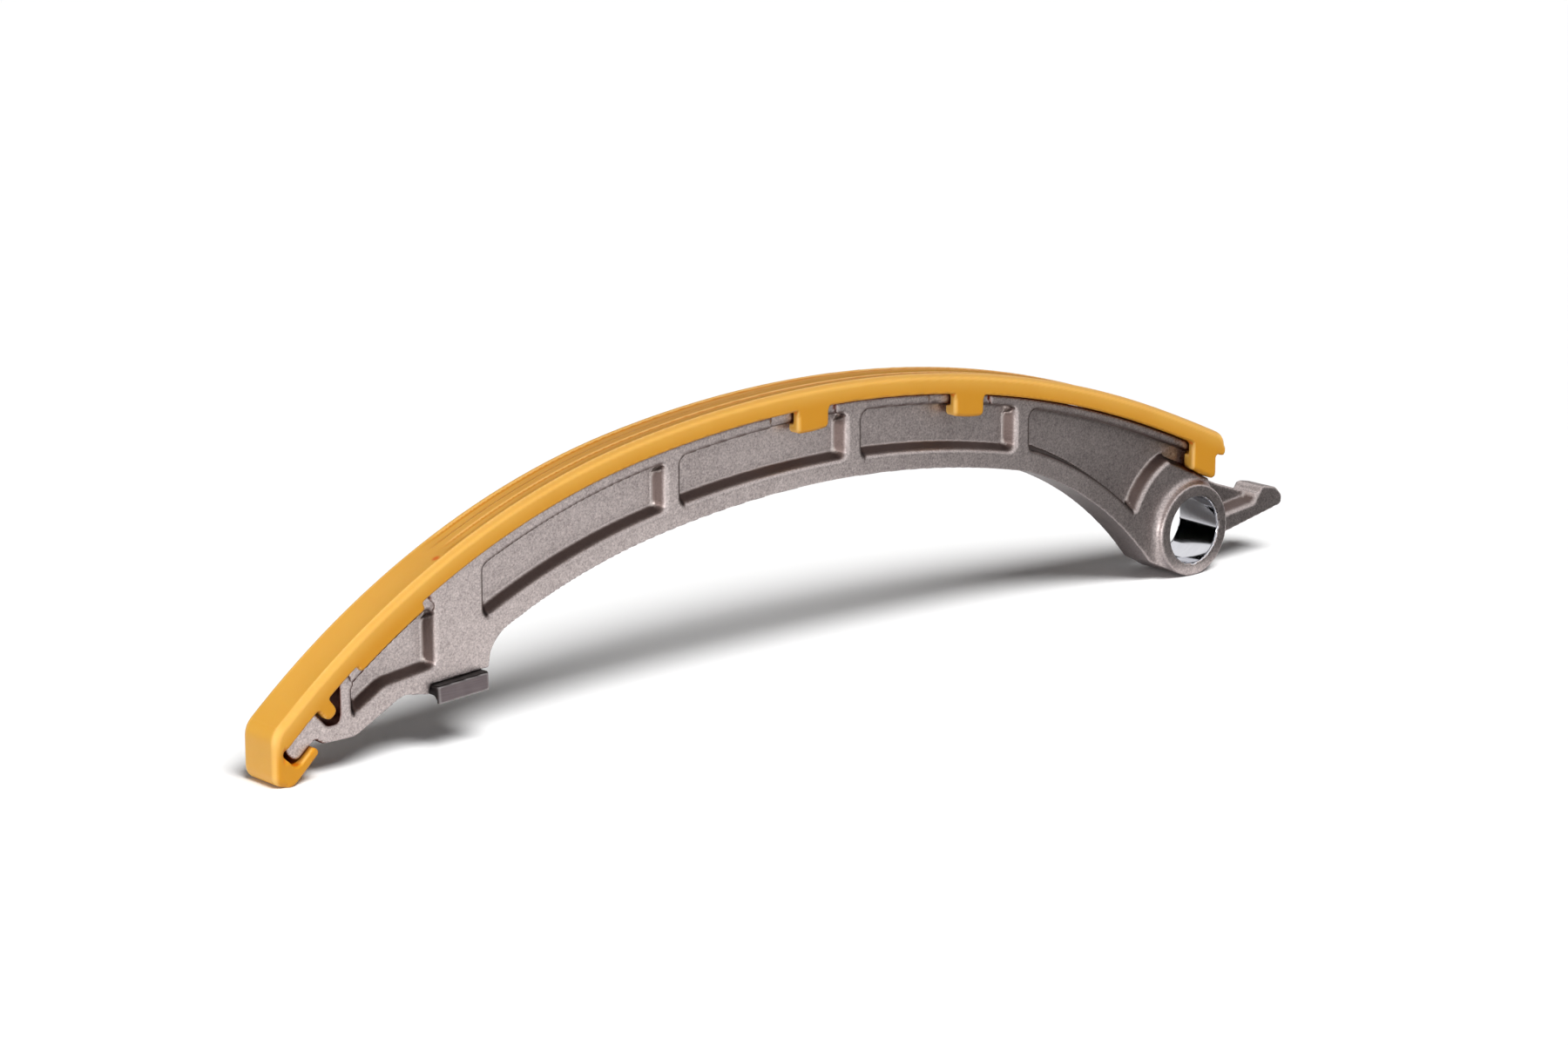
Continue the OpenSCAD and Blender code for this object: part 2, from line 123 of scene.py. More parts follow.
class Outline:
    """Signed distances to an outline, looked up at any X and Z."""

    def __init__(self, lines, spread):
        far = np.full(GRID, REACH)
        toggles = np.zeros(GRID, int)
        for start, end in lines:
            along = end - start
            length2 = along @ along
            if length2 < SHORTEST2:
                continue
            first = ((np.minimum(start, end) - REACH - LOW) / FINE).astype(int)
            last = ((np.maximum(start, end) + REACH - LOW) / FINE).astype(int) + 2
            first, last = np.maximum(first, 0), np.minimum(last, GRID)
            x = LOW[0] + FINE * np.arange(first[0], last[0])[:, None] - start[0]
            z = LOW[1] + FINE * np.arange(first[1], last[1])[None, :] - start[1]
            share = np.clip((x * along[0] + z * along[1]) / length2, 0, 1)
            here = np.hypot(x - share * along[0], z - share * along[1])
            window = far[first[0]:last[0], first[1]:last[1]]
            np.minimum(window, here, out=window)
            # Rows of the grid that this line crosses, for telling inside from outside
            row0, row1 = np.sort((np.array([start[1], end[1]]) - LOW[1]) / FINE)
            rows = np.arange(math.ceil(row0), math.ceil(row1))
            if len(rows):
                cross = start[0] + (LOW[1] + FINE * rows - start[1]) / along[1] * along[0]
                columns = np.ceil((cross - LOW[0]) / FINE).astype(int)
                np.add.at(toggles, (columns, rows), 1)
        inside = np.cumsum(toggles, 0) % 2 == 1
        self.grid = np.where(inside, -far, far)
        self.soften(spread)

    def soften(self, spread):
        """Blurs the distances, which rounds small corners and facets."""
        steps = np.arange(-BLUR_STEPS, BLUR_STEPS + 1)
        weights = np.exp(-0.5 * (steps * FINE / spread) ** 2)
        weights /= weights.sum()
        for axis in (0, 1):
            self.grid = sum(w * np.roll(self.grid, s, axis) for s, w in zip(steps, weights))

    def at(self, x, z):
        """The distance at any place, blended from the four points of the grid round it."""
        u = np.clip((x - LOW[0]) / FINE, 0, LAST_CELL[0])
        v = np.clip((z - LOW[1]) / FINE, 0, LAST_CELL[1])
        u, v = np.broadcast_arrays(u, v)
        i, j = u.astype(int), v.astype(int)
        u, v = u - i, v - j
        g = self.grid
        return ((g[i, j] * (1 - u) + g[i + 1, j] * u) * (1 - v)
                + (g[i, j + 1] * (1 - u) + g[i + 1, j + 1] * u) * v)


# %% Outlines of the layers
CAST_SOFT = 0.35
MOULD_SOFT = 0.3
# Planes across the width, one in each layer
ARM_PLANES = (-0.5, -2.0, -3.9)
LINING_PLANES = (-0.01, -3.68, -4.2, -5.1)
arm_whole, arm_pocketed, arm_relieved = (
    Outline(cut_lines(arm_solid, y), CAST_SOFT) for y in ARM_PLANES)
lining_whole, lining_barbed, lining_necked, lining_skirted = (
    Outline(cut_lines(lining_solid, y), MOULD_SOFT) for y in LINING_PLANES)
print("outlines on a grid of", GRID, "points")

# %% [markdown]
# ## Rounding and blending
# A casting never has a sharp edge: molten metal and shot blasting round every rim, and the mould
# has a fillet in every inside corner. Two small formulas give both. One joins two distances with a
# round outer edge, and the other melts two bodies together with a fillet.

# %% Round edges and fillets
def rounded_edge(a, b, r):
    """What is inside both a and b, with the edge between them rounded to radius r."""
    u, v = a + r, b + r
    return (np.minimum(np.maximum(u, v), 0)
            + np.hypot(np.maximum(u, 0), np.maximum(v, 0)) - r)


def filleted(a, b, size):
    """What is inside a or b, with the inner corner between them filled."""
    near = np.maximum(size - np.abs(a - b), 0) / size
    return np.minimum(a, b) - near * near * size / 4


def ease(value, low, high):
    """From 0 at low to 1 at high, without a kink."""
    t = np.clip((value - low) / (high - low), 0, 1)
    return t * t * (3 - 2 * t)


print("a 1 mm round takes", round(float(rounded_edge(0, 0, 1)), 3), "mm off a square edge")

# %% [markdown]
# ## The running curve
# Arm and lining follow one curve, a chain of arcs from the hooked end over the crown to the pivot
# end. How deep a point lies below that curve tells which part of either piece it belongs to.

# %% Depth below the running face
CROWN = (-116.0, 50.9)
# On either side of the crown: the radius next to it, the length of that arc, the radius beyond
CURVE_ARCS = {-1: (296.0, 52.0, 186.0), 1: (282.0, 106.0, 488.0)}


def running_depth(x, z):
    """Depth below the running face, and the distance along it from the crown."""
    x, z = np.broadcast_arrays(np.asarray(x, float), np.asarray(z, float))
    depth, along = np.zeros(x.shape), np.zeros(x.shape)
    for side, (near_r, near_len, far_r) in CURVE_ARCS.items():
        across = (x - CROWN[0]) * side
        turn = near_len / near_r
        centre = CROWN[1] - near_r
        angle = np.arctan2(across, z - centre)
        first = angle <= turn
        far_x = (near_r - far_r) * math.sin(turn)
        far_z = centre + (near_r - far_r) * math.cos(turn)
        far_angle = np.arctan2(across - far_x, z - far_z)
        d = np.where(first, near_r - np.hypot(across, z - centre),
                     far_r - np.hypot(across - far_x, z - far_z))
        s = np.where(first, near_r * angle, near_len + far_r * (far_angle - turn))
        here = across >= 0
        depth = np.where(here, d, depth)
        along = np.where(here, side * s, along)
    return depth, along


print("depth at the crown", float(running_depth(*CROWN)[0]))

# %% [markdown]
# ## The cast arm
# The arm is a thin web with pockets on both sides, a flange on its back, ribs, a foot, a boss and a
# nose. It is built up as a foundry would think of it: the web, the walls round the pockets, which
# lean so that the die comes off, the reliefs behind the clips, and the boss, bored last. A wall's
# lean and its rim depend on the way it faces, so that is measured first.

# %% Distances to the cast arm
WEB_HALF, WEB_EDGE_R = 1.1, 0.4
ARM_HALF, RELIEF_HALF = 4.3, 3.55
BOSS_R, BOSS_HALF, BOSS_EDGE_R, BOSS_FILLET = 11.0, 6.5, 0.45, 2.0
BOSS_INSET = 0.4
BORE_R, BORE_CHAMFER = 8.0, 0.35
# How far walls lean, and the share of it that those facing the pivot lack
DRAFT, LESS_DRAFT = math.radians(28), 0.6
# Radius of the rims, and the share of it that is left on steep walls
RIM_R, CRISP_SHARE = 0.6, 0.35
POCKET_FILLET = 0.5
FACING_REACH = 0.5


def facing(outline, x, z):
    """Which way a wall of the outline faces at a place: its X and Z."""
    return (outline.at(x + FACING_REACH, z) - outline.at(x - FACING_REACH, z),
            outline.at(x, z + FACING_REACH) - outline.at(x, z - FACING_REACH))


def arm_distance(x, y, z):
    """Distance to the arm's skin, below zero in the metal."""
    side = np.abs(y)
    ring = np.hypot(x, z)
    core = ring - BOSS_R + BOSS_INSET
    whole = np.minimum(arm_whole.at(x, z), core)
    # Walls lean in towards the web, but not the flange's underside, where the clips sit
    to_x, to_z = facing(arm_pocketed, x, z)
    leaning = ease(to_z, -0.75, -0.25)
    draft = DRAFT * leaning * (1 - LESS_DRAFT * ease(to_x, 0.1, 0.6))
    lean = np.sin(draft) * (side - ARM_HALF)
    pocketed = np.minimum(arm_pocketed.at(x, z), core) * np.cos(draft) + lean
    relieved = np.minimum(arm_relieved.at(x, z), core) * np.cos(draft) + lean
    web = rounded_edge(whole, side - WEB_HALF, WEB_EDGE_R)
    rim = RIM_R * (CRISP_SHARE + (1 - CRISP_SHARE) * leaning)
    walls = np.minimum(rounded_edge(pocketed, side - RELIEF_HALF, rim),
                       rounded_edge(relieved, side - ARM_HALF, rim))
    boss = rounded_edge(ring - BOSS_R, side - BOSS_HALF, BOSS_EDGE_R)
    body = filleted(filleted(web, walls, POCKET_FILLET), boss, BOSS_FILLET)
    body = np.maximum(body, whole)
    chamfer = ((BORE_R + BORE_CHAMFER - ring) - (BOSS_HALF - side)) / math.sqrt(2)
    return np.maximum(body, np.maximum(BORE_R - ring, chamfer))


print("from the bore's middle to its wall", float(arm_distance(0.0, 0.0, 0.0)), "mm")

# %% [markdown]
# ## The slide lining
# The lining is one moulding that clips over the arm's back. Its outline gives the strip, the hook,
# the peg and the lip; the clips and the skirt are extra layers at its sides. Its outer edges are
# well rounded so that the chain never meets a corner, while the edges underneath stay nearly sharp.
# The running face is a little hollow, and two shallow tracks for the chain's link plates fade in
# near the foot. Both are cut last, from above.

# %% Distances to the slide lining
LINING_HALF = 5.75
LINING_END = -261.1
EDGE_R, UNDER_R, CLIP_R = 1.5, 0.35, 0.9
LAYER_R, LAYER_FILLET = 0.3, 0.5
TRACK_MID, TRACK_HALF, TRACK_DEEP = 2.45, 1.15, 0.25
TRACK_SOFT, TRACK_START, TRACK_FADE = 0.4, -106.0, 8.0
DISH_HALF, DISH_DEEP = 4.7, 0.27
# Each side layer, and how far from the middle it starts
LAYERS = ((lining_barbed, 2.35), (lining_necked, 3.75), (lining_skirted, 4.5))


def lining_distance(x, y, z):
    """Distance to the lining's skin, below zero in the plastic."""
    side = np.abs(y)
    depth, along = running_depth(x, z)
    outer = np.maximum(ease(-depth, -3.4, -2.2),
                       ease(-x, -LINING_END - 3.6, -LINING_END - 2.4))
    clips = ease(depth, 4.8, 6.0) * ease(x, -140, -135)
    edge = UNDER_R + (EDGE_R - UNDER_R) * outer + (CLIP_R - UNDER_R) * clips
    body = rounded_edge(lining_whole.at(x, z), side - LINING_HALF, edge)
    for layer, start in LAYERS:
        clip = rounded_edge(layer.at(x, z), side - LINING_HALF, edge)
        body = filleted(body, rounded_edge(clip, start - side, LAYER_R), LAYER_FILLET)
    body = np.maximum(body, rounded_edge(lining_skirted.at(x, z), side - LINING_HALF, edge))
    from_mid = np.abs(side - TRACK_MID)
    track = (ease(-from_mid, -TRACK_HALF - TRACK_SOFT, -TRACK_HALF + TRACK_SOFT)
             * ease(along, TRACK_START, TRACK_START + TRACK_FADE))
    dish = (np.maximum(1 - (side / DISH_HALF) ** 2, 0)
            * ease(x, LINING_END + 2, LINING_END + 14))
    return np.maximum(body, TRACK_DEEP * track + DISH_DEEP * dish - depth)


print("hollow at the crown", round(float(lining_distance(CROWN[0], 0.0, CROWN[1])), 3), "mm")

# %% [markdown]
# ## From distances to a mesh
# The skin of a piece lies where its distance is zero. A grid of cells is laid over the piece, each
# cell that the skin passes through gets one point, and the points of neighbouring cells are joined
# into quads. A remesh modifier works the same way, but it would start from facets and round
# everything alike.

# %% Wrap a skin round the distances
def skin(distance, low, high, step):
    """Points and quads of the surface where distance is zero."""
    axes = [np.arange(a - 2 * step, b + 3 * step, step) for a, b in zip(low, high)]
    x, y, z = axes[0][:, None, None], axes[1][None, :, None], axes[2][None, None, :]
    values = distance(x, y, z)
    inside = values < 0
    cells = tuple(n - 1 for n in values.shape)
    total = np.zeros(cells + (3,), np.float32)
    count = np.zeros(cells, np.int8)
    faces = []
    for axis in range(3):
        size = list(values.shape)
        size[axis] -= 1
        near = tuple(slice(0, n) for n in size)
        far = tuple(slice(1, None) if a == axis else slice(0, n) for a, n in enumerate(size))
        changes = inside[near] != inside[far]
        spot = np.argwhere(changes)
        a, b = values[near][changes], values[far][changes]
        crossing = spot.astype(np.float32)
        crossing[:, axis] += a / (a - b)
        one, two = [k for k in range(3) if k != axis]
        around = []
        for du, dv in ((0, 0), (1, 0), (1, 1), (0, 1)):
            cell = spot.copy()
            cell[:, one] -= du
            cell[:, two] -= dv
            np.add.at(total, tuple(cell.T), crossing)
            np.add.at(count, tuple(cell.T), 1)
            around.append(np.ravel_multi_index(cell.T, cells))
        quads = np.stack(around, 1)
        flip = (a < 0) == (axis == 1)
        quads[flip] = quads[flip][:, ::-1]
        faces.append(quads)
    used = np.flatnonzero(count.ravel())
    number = np.full(count.size, -1)
    number[used] = np.arange(len(used))
    points = total.reshape(-1, 3)[used] / count.ravel()[used][:, None]
    points = np.array([axes[k][0] for k in range(3)]) + points * step
    return points, number[np.concatenate(faces)]


# %% [markdown]
# ## Smooth shading and marks
# Each point of the skin is drawn exactly onto it, and the slope of the distance gives the shading
# normals, so that a flat face stays flat right up to its round edge. How strongly the skin bends
# tells outer edges from inner corners. That and other marks are stored at the points of the mesh,
# for the finishes to use.

# %% Make a piece of a skin
PULLS, PULL_REACH, LEAST_SLOPE = 3, 0.08, 0.3
NORMAL_REACH, BEND_REACH = 0.1, 0.35


def slope(distance, points, reach):
    """How the distance changes along X, Y and Z, and how strongly the skin bends."""
    here = distance(*points.T)
    gradient = np.empty_like(points)
    bend = -6 * here
    for axis in range(3):
        shift = np.zeros(3)
        shift[axis] = reach
        ahead, behind = distance(*(points + shift).T), distance(*(points - shift).T)
        gradient[:, axis] = (ahead - behind) / (2 * reach)
        bend = bend + ahead + behind
    return here, gradient, bend / reach ** 2


def make_piece(name, distance, low, high, step, marks):
    """A mesh object of the skin, with smooth normals and the marks for its finish."""
    points, quads = skin(distance, low, high, step)
    for _ in range(PULLS):
        here, gradient, _bend = slope(distance, points, PULL_REACH)
        steep = np.maximum((gradient ** 2).sum(1), LEAST_SLOPE)
        points = points - np.clip(here / steep, -step / 2, step / 2)[:, None] * gradient
    _here, gradient, _bend = slope(distance, points, NORMAL_REACH)
    _here, _gradient, bend = slope(distance, points, BEND_REACH)
    mesh = bpy.data.meshes.new(name)
    mesh.from_pydata((points / MM).tolist(), [], quads.tolist())
    mesh.polygons.foreach_set("use_smooth", np.ones(len(quads), bool))
    normal = gradient / np.linalg.norm(gradient, axis=1)[:, None]
    for mark, amount in marks(points, normal, bend).items():
        layer = mesh.attributes.new(mark, "FLOAT", "POINT")
        layer.data.foreach_set("value", amount.astype(np.float32))
    mesh.normals_split_custom_set_from_vertices(normal)
    piece = bpy.data.objects.new(name, mesh)
    scene.collection.objects.link(piece)
    print(name, len(points), "points,", 2 * len(quads), "triangles")
    return piece


def node_box(node):
    """A node's lowest and highest corners in millimetres."""
    low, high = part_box(node)
    return np.array(low) * MM, np.array(high) * MM


# %% [markdown]
# ## Marks of the arm
# These marks paint light and shade into the casting's colour. The walls of the pockets get painted
# shade, nearly black on the walls that face the pivot, and the undersides are painted darker, while
# folds and rims on the side of the hook get painted highlights. Close to the lining the metal gets
# a painted shadow, brown from the lining's orange. Painting this on a picture would need an
# unwrapped mesh; here the distances already tell where each place lies.

# %% The arm and its marks
ARM_STEP = 0.48


def arm_marks(points, normal, bend):
    x, y, z = points.T
    below_rim = ARM_HALF - np.abs(y)
    off_boss = ease(np.hypot(x, z), BOSS_R + 1.5, BOSS_R + 2.5)
    within = ease(-arm_whole.at(x, z), 0.5, 1.3) * off_boss
    # Walls; the steep ones, which face the pivot or downwards; and those that face the hook
    turned = ease(np.hypot(normal[:, 0], normal[:, 2]), 0.3, 0.7)
    to_x, to_z = facing(arm_pocketed, x, z)
    steep = np.maximum(ease(0.7 * to_x - 0.7 * to_z, 0.2, 0.6), ease(to_x, 0.1, 0.4))
    to_hook = ease(-to_x, 0.2, 0.7)
    # Painted shade on the walls below the rim and on the steep walls, with a darker painted line
    # along the steep ones
    wall_shade = turned * np.maximum(ease(below_rim, 0.1, 1.2), steep)
    line = steep * ease(-np.abs(arm_pocketed.at(x, z)), -0.8, -0.3)
    fold = ease(-bend, 0.8, 1.6) * ease(below_rim, 1.6, 2.4)
    edge = ease(bend, 0.8, 1.5)
    # Painted shadow, red-brown from the lining's orange: near the lining, and further from it round
    # the peg
    near = -lining_distance(x, y, z)
    reach = 2.6 + 2.4 * ease(-x, 230, 236)
    painted_gap_shade = np.maximum(ease(near, -reach, -0.4 * reach) * turned, ease(near, -0.75, -0.2))
    # Painted highlights on folds, and on edges that face the hook
    painted_highlight = fold * (0.4 + 0.6 * to_hook) + 0.4 * edge * to_hook
    # All these marks paint light or shade: shade on walls, nearly black shade on walls facing the
    # pivot, shadow by the lining, highlights, shade on undersides
    return {"wall": within * np.maximum(wall_shade, line),
            "black": within * ease(to_x, 0.1, 0.5) * turned,
            "painted_gap_shade": painted_gap_shade,
            "bright": within * (1 - steep) * painted_highlight,
            "under": (1 - within) * ease(-normal[:, 2], 0.1, 0.7)}


arm = make_piece("cast_arm", arm_distance, *node_box("arm_casting"), ARM_STEP, arm_marks)

# %% [markdown]
# ## Marks of the lining
# Plastic lets light in a little. On top of that, the rims get a painted pale highlight and the
# inner corners a painted orange glow. The running face gets painted shade, lighter where it turns
# towards the hooked end and darker along the edges of the tracks, the lower sides are painted
# darker, and a painted brown shadow follows the seam to the arm.

# %% The lining and its marks
LINING_STEP = 0.45


def lining_marks(points, normal, bend):
    x, y, z = points.T
    depth, along = running_depth(x, z)
    from_edge = np.abs(np.abs(np.abs(y) - TRACK_MID) - TRACK_HALF)
    started = ease(along, TRACK_START, TRACK_START + TRACK_FADE)
    # Painted shade on the running face, lighter where it turns towards the hooked end
    level = 0.2 + 0.8 * ease(normal[:, 0], -0.65, -0.1)
    # Each of these marks paints light or shade into the colour
    return {"rim": ease(bend, 0.15, 1.2),
            "track": ease(-from_edge, -0.6, -0.1) * started * ease(-depth, -0.8, -0.5),
            "painted_corner_glow": ease(-bend, 0.1, 0.9) * ease(depth, 2.0, 3.0),
            "painted_gap_shade": ease(-arm_distance(x, y, z), -0.9, -0.2),
            "face": ease(normal[:, 2], 0.3, 0.7) * ease(-depth, -1.2, -0.5) * level,
            "low": ease(depth, 0.8, 5.0) * ease(normal[:, 0], -0.8, -0.4)}


lining = make_piece("amber_lining", lining_distance, *node_box("slide_lining"),
                    LINING_STEP, lining_marks)

# %% [markdown]
# ## The wear plate
# A tensioner presses on this small shoe of hard steel. It is a plate with a shallow channel milled
# along its underside for the tensioner's plunger, and its edges are broken with a file. It sits on
# the slope of the foot's seat, so its distances are worked out along and across that slope. Its top
# ledge and the end by the hook get painted shade, nearly black, and its rims a painted highlight.

# %% The wear plate with its channel
PLATE_LONG, PLATE_WIDE, PLATE_THICK = 13.3, 13.2, 3.85
PLATE_CORNER = (-221.7, 3.2)
PLATE_SLOPE = math.radians(3.9)
PLATE_CORNER_R, PLATE_EDGE_R = 0.8, 0.35
CHANNEL_HALF, CHANNEL_DEEP = 5.9, 1.7
CHANNEL_R, CHANNEL_EDGE_R = 1.2, 0.2
PLATE_STEP = 0.25


def plate_distance(x, y, z):
    """Distance to the plate's skin, below zero in the steel."""
    dx, dz = x - PLATE_CORNER[0], z - PLATE_CORNER[1]
    along = dx * math.cos(PLATE_SLOPE) + dz * math.sin(PLATE_SLOPE)
    up = dz * math.cos(PLATE_SLOPE) - dx * math.sin(PLATE_SLOPE)
    side = np.abs(y)
    lengthways = np.abs(along - PLATE_LONG / 2) - PLATE_LONG / 2
    plan = rounded_edge(lengthways, side - PLATE_WIDE / 2, PLATE_CORNER_R)
    upright = np.abs(up + PLATE_THICK / 2) - PLATE_THICK / 2
    block = rounded_edge(plan, upright, PLATE_EDGE_R)
    channel = rounded_edge(side - CHANNEL_HALF, up + PLATE_THICK - CHANNEL_DEEP, CHANNEL_R)
    return rounded_edge(block, -channel, CHANNEL_EDGE_R)


def plate_marks(points, normal, bend):
    # Painted shade on the top ledge and the end by the hook; painted highlight on the rims
    ledge, end = ease(normal[:, 2], 0.3, 0.7), ease(-normal[:, 0], 0.4, 0.8)
    return {"rim": ease(bend, 0.3, 2.0), "dark": np.maximum(ledge, 0.9 * end)}


plate = make_piece("steel_plate", plate_distance, *node_box("wear_plate"),
                   PLATE_STEP, plate_marks)

# %% [markdown]
# ## Tying the pieces to the frame
# Each piece stands for one solid of the frame, whose own mesh is hidden, and moves with the only
# body. Its finish, made below, has the name of that solid's slot.

# %% Ride and replace
for piece, node, slot in ((arm, "arm_casting", "cast_aluminium"),
                          (lining, "slide_lining", "slide_plastic"),
                          (plate, "wear_plate", "hard_steel")):
    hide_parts(node)
    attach(piece, "root")
    print(piece.name, "stands for", node)

# %% [markdown]
# ## Writing finishes as expressions
# A finish is a tree of nodes. Wiring each sum by hand is slow to write and to read, so a small
# class wraps an output socket, and adding or multiplying two of them adds the Math node. Every
# other node comes from one method of the tree.

# %% A socket that can be calculated with
def plug(socket, value):
    """Links a wire to a socket, or sets the socket's own value."""
    if isinstance(value, Wire):
        socket.id_data.links.new(value.socket, socket)
    else:
        socket.default_value = value


class Wire:
    """An output socket; sums, differences and products of wires are Math nodes."""

    def __init__(self, socket):
        self.socket = socket

    def math(self, operation, one, two):
        node = self.socket.id_data.nodes.new("ShaderNodeMath")
        node.operation = operation
        plug(node.inputs[0], one)
        plug(node.inputs[1], two)
        return Wire(node.outputs[0])

    def at_most(self, limit):
        return self.math("MINIMUM", self, limit)

    def __add__(self, other):
        return self.math("ADD", self, other)

    def __sub__(self, other):
        return self.math("SUBTRACT", self, other)

    def __rsub__(self, other):
        return self.math("SUBTRACT", other, self)

    def __mul__(self, other):
        return self.math("MULTIPLY", self, other)

    __radd__ = __add__
    __rmul__ = __mul__


# %% Trees and finishes
class Tree:
    """A node tree that nodes are added to."""

    def __init__(self, tree):
        self.tree = tree

    def node(self, kind, settings=None, sockets=None, out=0):
        """Adds a node: its settings first, then the values or wires of its sockets."""
        node = self.tree.nodes.new(kind)
        for key, value in (settings or {}).items():
            setattr(node, key, value)
        for key, value in (sockets or {}).items():
            plug(node.inputs[key], value)
        return Wire(node.outputs[out])


class Finish(Tree):
    """A material, with its tree and the shader at its end."""

    def __init__(self, name):
        self.material = bpy.data.materials.new(name)
        self.material.use_nodes = True
        super().__init__(self.material.node_tree)
        self.shader = self.tree.nodes["Principled BSDF"]

    def mark(self, name):
        """One of the marks stored in the mesh."""
        return self.node("ShaderNodeAttribute", {"attribute_name": name}, out="Fac")

    def noise(self, place, scale, detail, roughness=0.5):
        return self.node("ShaderNodeTexNoise", None,
                         {"Vector": place, "Scale": scale, "Detail": detail,
                          "Roughness": roughness})

    def mix(self, share, one, two):
        """A colour between two colours."""
        return self.node("ShaderNodeMix", {"data_type": "RGBA"}, {0: share, 6: one, 7: two}, 2)

    def surface(self, **sockets):
        """Sets or links sockets of the shader, with _ for each space in their names."""
        for key, value in sockets.items():
            plug(self.shader.inputs[key.replace("_", " ")], value)

    def put_on(self, piece):
        piece.data.materials.append(self.material)
        print(self.material.name, "on", piece.name, "with", len(self.tree.nodes), "nodes")


def colour(red, green, blue):
    """A colour as it is seen, from 0 to 255, as Blender's linear values."""
    def linear(c):
        c = c / 255
        return c / 12.92 if c <= 0.04045 else ((c + 0.055) / 1.055) ** 2.4
    return (linear(red), linear(green), linear(blue), 1.0)


# %% [markdown]
# ## Shot-blasted aluminium
# The arm leaves the die silvery and is blasted with fine shot, which gives an even, warm grey
# grain. Three noises of different size make the grain, a mottle and a slow drift in tone. Over
# that come the marks, which paint shade on the undersides, the pocket walls and next to the lining,
# and highlights on folds and rims.

# %% Finish of the cast arm
cast = Finish("cast_aluminium")
place = cast.node("ShaderNodeTexCoord", out="Object")
grain = cast.noise(place, 2400.0, 3.0, 0.6)
mottle = cast.noise(place, 420.0, 4.0, 0.65)
drift = cast.noise(place, 45.0, 2.0)
tone = 0.5 + (grain - 0.5) * 1.7 + (mottle - 0.5) * 0.4 + (drift - 0.5) * 0.3
bare = cast.mix(tone, colour(140, 129, 128), colour(224, 212, 209))
# Painted shade: the undersides darker
bare = cast.mix(cast.mark("under") * 0.55, bare, colour(84, 76, 80))
# Painted shade on the pocket walls
bare = cast.mix(cast.mark("wall") * 0.95, bare, colour(98, 83, 79))
# Painted shade, nearly black, on the walls that face the pivot
bare = cast.mix(cast.mark("black") * 0.9, bare, colour(24, 19, 19))
# Painted highlights on folds and rims
bare = cast.mix(cast.mark("bright") * 0.55, bare, colour(244, 234, 228))
# Painted shadow next to the lining, red-brown from its orange
bare = cast.mix(cast.mark("painted_gap_shade"), bare, colour(92, 34, 10))
bump = cast.node("ShaderNodeBump", None, {"Strength": 0.5, "Distance": 0.00012,
                                          "Height": grain * 0.7 + mottle * 0.5})
cast.surface(Base_Color=bare, Metallic=0.95, Roughness=0.42 + (grain - 0.5) * 0.2, Normal=bump)
cast.put_on(arm)

# %% [markdown]
# ## Honed bore
# The pin turns in the bore, so the bore is honed to a mirror, with the finest rings round it.
# The arm is one casting and stays one mesh, and the faces inside the bore take a second finish.

# %% Finish of the bore
honed = Finish("honed_bore")
place = honed.node("ShaderNodeTexCoord", out="Object")
stretch = honed.node("ShaderNodeMapping", None, {"Vector": place, "Scale": (300.0, 9000.0, 300.0)})
rings = honed.noise(stretch, 1.0, 2.0)
mirror = honed.mix(rings, colour(196, 196, 202), colour(232, 232, 236))
honed.surface(Base_Color=mirror, Metallic=1.0, Roughness=0.05 + rings * 0.08)
honed.put_on(arm)
centres = np.empty(len(arm.data.polygons) * 3)
arm.data.polygons.foreach_get("center", centres)
centres = centres.reshape(-1, 3) * MM
in_bore = np.hypot(centres[:, 0], centres[:, 2]) < BORE_R + 0.6 * BORE_CHAMFER
arm.data.polygons.foreach_set("material_index", in_bore.astype(np.int32))
print("faces in the bore", in_bore.sum())

# %% [markdown]
# ## Amber plastic
# The lining is a slippery nylon, slightly translucent: light soaks in at the edges, which the
# shader's subsurface gives; the pale rims and the orange glow in the corners are also painted into
# the colour. A small orange spot near the start of the tracks is the mark where the mould was
# filled. It is a distance from one point, so it needs no picture.

# %% Finish of the slide lining
GATE = (-0.219, -0.0032, 0.02913)
GATE_R = 0.0011
amber = Finish("slide_plastic")
place = amber.node("ShaderNodeTexCoord", out="Object")
cloud = amber.noise(place, 70.0, 3.0)
pores = amber.noise(place, 1500.0, 2.0)
low = amber.mark("low")
body = amber.mix(cloud, colour(210, 153, 60), colour(220, 167, 74))
# Painted shade: the lower sides darker
body = amber.mix(low * 0.9, body, colour(200, 137, 28))
# Painted shade on the running face
body = amber.mix(amber.mark("face") * 0.9, body, colour(174, 117, 14))
# Painted shade along the edges of the tracks
body = amber.mix(amber.mark("track") * 0.55, body, colour(166, 92, 4))
# Painted pale highlight on the rims
body = amber.mix(amber.mark("rim") * (1.0 - low) * 0.6, body, colour(240, 196, 118))
# Painted orange glow in the inner corners
body = amber.mix(amber.mark("painted_corner_glow") * 0.8, body, colour(215, 100, 6))
# Painted brown shadow next to the arm
body = amber.mix(amber.mark("painted_gap_shade") * 0.8, body, colour(128, 66, 6))
from_gate = amber.node("ShaderNodeVectorMath", {"operation": "DISTANCE"},
                       {0: place, 1: GATE}, "Value")
gate = 1.0 - from_gate * (1.0 / GATE_R)
body = amber.mix(gate * 1.6, body, colour(196, 92, 4))
bump = amber.node("ShaderNodeBump", None, {"Strength": 0.12, "Distance": 0.0001, "Height": pores})
amber.surface(Base_Color=body, Roughness=0.38 + (pores - 0.5) * 0.15, Normal=bump)
amber.surface(Specular_IOR_Level=0.22, Subsurface_Weight=0.25,
              Subsurface_Radius=(1.0, 0.45, 0.1), Subsurface_Scale=0.002)
amber.put_on(lining)

